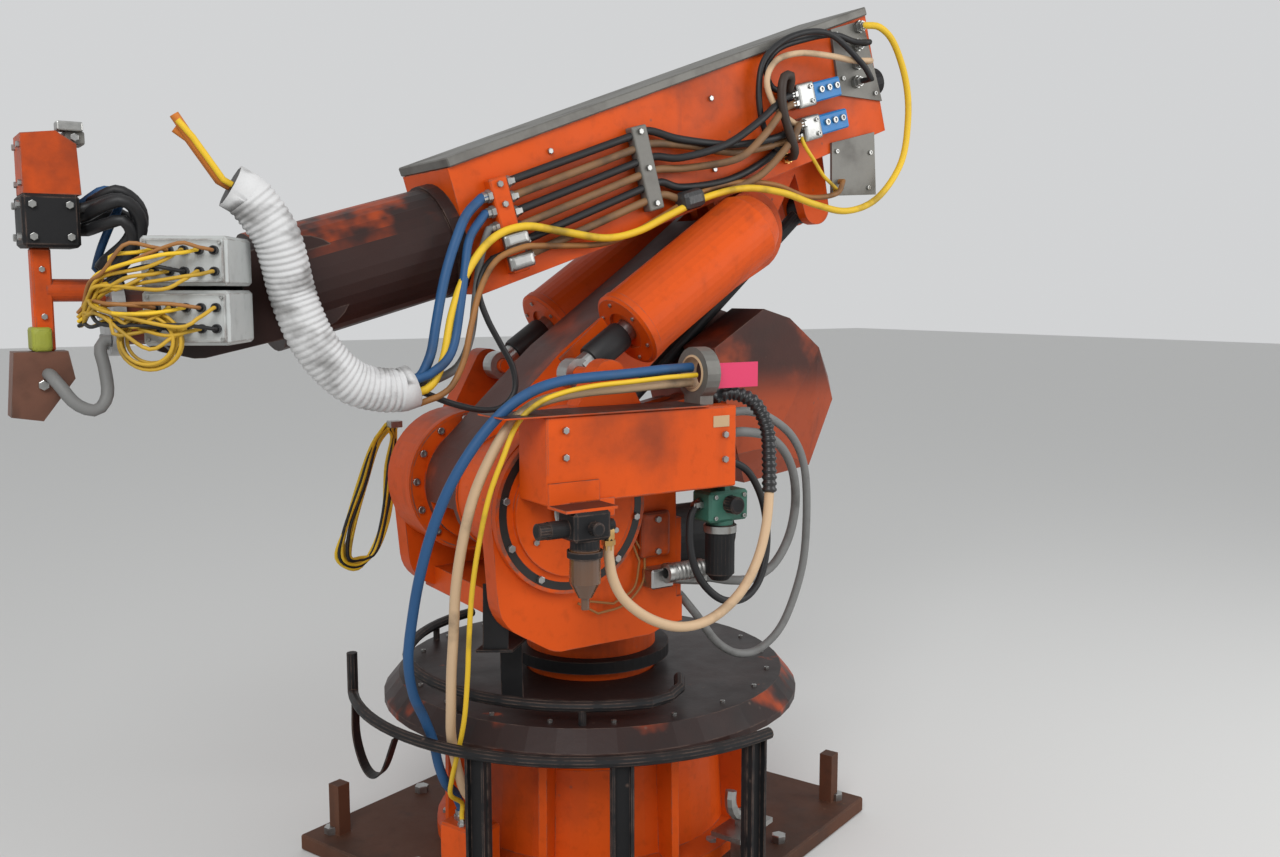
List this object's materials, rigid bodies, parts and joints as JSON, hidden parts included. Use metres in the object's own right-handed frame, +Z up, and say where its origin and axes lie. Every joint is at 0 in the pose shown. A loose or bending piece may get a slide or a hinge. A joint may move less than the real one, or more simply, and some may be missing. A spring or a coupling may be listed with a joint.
{
  "type": "industrial robot arm",
  "caption": "Floor-standing six-axis industrial robot arm with parallel linkage, balancing cylinders, counterweight, air fittings and dress hoses on a steel base plate.",
  "frame": {"origin": "centre of the floor plate's underside, on the turning axis", "axes": "+X the way the arm points at rest, +Y the robot's left, +Z up"},
  "size_m": [2.2729, 1.343, 2.1678],
  "materials": {
    "orange_paint": "worn gloss",
    "grease_dark": "greasy",
    "black_paint": "satin",
    "bare_steel": "brushed",
    "cast_grey": "cast",
    "box_enamel": "satin",
    "tag_pink": "matt",
    "filter_green": "satin",
    "bowl_amber": "glossy",
    "valve_blue": "matt",
    "cable_yellow": "matt",
    "hose_blue": "matt",
    "hose_beige": "matt",
    "hose_grey": "matt"
  },
  "bodies": {
    "base": {"floor_plate": "grease_dark", "pedestal": "orange_paint", "base_cover": "black_paint", "guard_hoop": "black_paint", "collar_hoop": "black_paint", "terminal_block": "orange_paint", "cable_saddle": "cast_grey"},
    "frame": {"frame_casting": "orange_paint", "neck_band": "black_paint", "near_gear_cover": "orange_paint", "far_gear_cover": "orange_paint", "shoulder_motor_left": "black_paint", "shoulder_motor_right": "black_paint", "side_box": "orange_paint", "ring_clamp": "cast_grey", "number_tag": "tag_pink", "filter_bracket": "black_paint", "filter_head": "black_paint", "filter_bowl": "bowl_amber", "regulator_head": "filter_green", "regulator_bowl": "black_paint", "motor_connector": "bare_steel", "box_hose_blue": "hose_blue", "box_hose_beige": "hose_beige", "filter_hose": "hose_beige", "rear_hose": "hose_grey"},
    "lower_arm": {"lower_arm": "grease_dark"},
    "elbow_shaft": {"elbow_shaft": "bare_steel"},
    "upper_arm": {"arm_housing": "orange_paint", "top_flange": "cast_grey", "gland_plate": "cast_grey", "lower_bracket": "cast_grey", "valve_block_1": "valve_blue", "valve_block_2": "valve_blue", "front_clamp": "orange_paint", "hose_rack": "cast_grey", "wrist_motors": "black_paint", "yellow_cable": "cable_yellow", "feed_hose": "hose_blue"},
    "forearm": {"forearm": "grease_dark", "junction_box_1": "box_enamel", "junction_box_2": "box_enamel", "box_bracket": "black_paint", "cable_coil": "cable_yellow", "dress_hose": "hose_grey"},
    "wrist": {"wrist": "grease_dark"},
    "tool": {"tool_flange": "bare_steel", "tool_frame": "orange_paint", "tool_clamp": "black_paint", "tool_block": "orange_paint", "tool_bracket": "grease_dark"},
    "parallel_arm": {"parallel_arm": "orange_paint", "counterweight": "grease_dark"},
    "link_pin": {"link_pin": "bare_steel"},
    "tie_rod": {"tie_rod": "black_paint"},
    "balance_rod_left": {"balance_rod_left": "bare_steel"},
    "balance_cylinder_left": {"balance_cylinder_left": "orange_paint"},
    "balance_rod_right": {"balance_rod_right": "bare_steel"},
    "balance_cylinder_right": {"balance_cylinder_right": "orange_paint"}
  },
  "joints": [
    {"name": "base_turn", "type": "hinge", "parent": "base", "child": "frame", "pos_m": [0, 0, 0], "axis": [0, 0, 1], "range_deg": [-158, 202], "deforming": ["box_hose_blue", "box_hose_beige"]},
    {"name": "arm_swing", "type": "hinge", "parent": "frame", "child": "lower_arm", "pos_m": [0.268, 0, 0.94], "axis": [0, 1, 0], "range_deg": [-3, 119]},
    {"name": "elbow_shaft_turn", "type": "hinge", "parent": "lower_arm", "child": "elbow_shaft", "pos_m": [-0.44897, 0, 1.56326], "axis": [0, 1, 0], "range_deg": [-119, 3]},
    {"name": "upper_arm_swing", "type": "hinge", "parent": "elbow_shaft", "child": "upper_arm", "pos_m": [-0.44897, 0, 1.56326], "axis": [0, 1, 0], "range_deg": [-22, 3], "deforming": ["yellow_cable"]},
    {"name": "link_swing", "type": "hinge", "parent": "frame", "child": "parallel_arm", "pos_m": [0.268, 0, 0.94], "axis": [0, 1, 0], "range_deg": [-22, 3]},
    {"name": "link_pin_turn", "type": "hinge", "parent": "parallel_arm", "child": "link_pin", "pos_m": [0.01807, 0, 1.01167], "axis": [0, 1, 0], "range_deg": [-3, 22]},
    {"name": "tie_rod_turn", "type": "hinge", "parent": "link_pin", "child": "tie_rod", "pos_m": [0.01807, 0, 1.01167], "axis": [0, 1, 0], "range_deg": [-3, 119]},
    {"name": "balance_turn_left", "type": "hinge", "parent": "frame", "child": "balance_rod_left", "pos_m": [0.156, 0.19, 1.218], "axis": [0, 1, 0], "range_deg": [-3.77, 149.11]},
    {"name": "balance_slide_left", "type": "slide", "parent": "balance_rod_left", "child": "balance_cylinder_left", "axis": [-0.8251, 0, 0.5649], "range_m": [-0.00893, 0.35019]},
    {"name": "balance_turn_right", "type": "hinge", "parent": "frame", "child": "balance_rod_right", "pos_m": [0.156, -0.19, 1.218], "axis": [0, 1, 0], "range_deg": [-3.77, 149.11]},
    {"name": "balance_slide_right", "type": "slide", "parent": "balance_rod_right", "child": "balance_cylinder_right", "axis": [-0.8251, 0, 0.5649], "range_m": [-0.00893, 0.35019]},
    {"name": "forearm_roll", "type": "hinge", "parent": "upper_arm", "child": "forearm", "pos_m": [0.96977, 0, 1.3593], "axis": [0.9613, 0, -0.2756], "range_deg": [-300, 300], "deforming": ["dress_hose"]},
    {"name": "wrist_bend", "type": "hinge", "parent": "forearm", "child": "wrist", "pos_m": [0.96977, 0, 1.3593], "axis": [0, 1, 0], "range_deg": [-74, 106]},
    {"name": "tool_roll", "type": "hinge", "parent": "wrist", "child": "tool", "pos_m": [0.96977, 0, 1.3593], "axis": [1, 0, 0], "range_deg": [-300, 300]}
  ],
  "couplings": [
    {"joint": "elbow_shaft_turn", "follows": "arm_swing", "ratio": -1},
    {"joint": "upper_arm_swing", "follows": "link_swing", "ratio": 1},
    {"joint": "link_pin_turn", "follows": "link_swing", "ratio": -1},
    {"joint": "tie_rod_turn", "follows": "arm_swing", "ratio": 1},
    {"joint": "balance_turn_left", "follows": "arm_swing", "ratio": 1.2529},
    {"joint": "balance_slide_left", "follows": "arm_swing", "m_per_rad": 0.16856},
    {"joint": "balance_turn_right", "follows": "arm_swing", "ratio": 1.2529},
    {"joint": "balance_slide_right", "follows": "arm_swing", "m_per_rad": 0.16856}
  ]
}
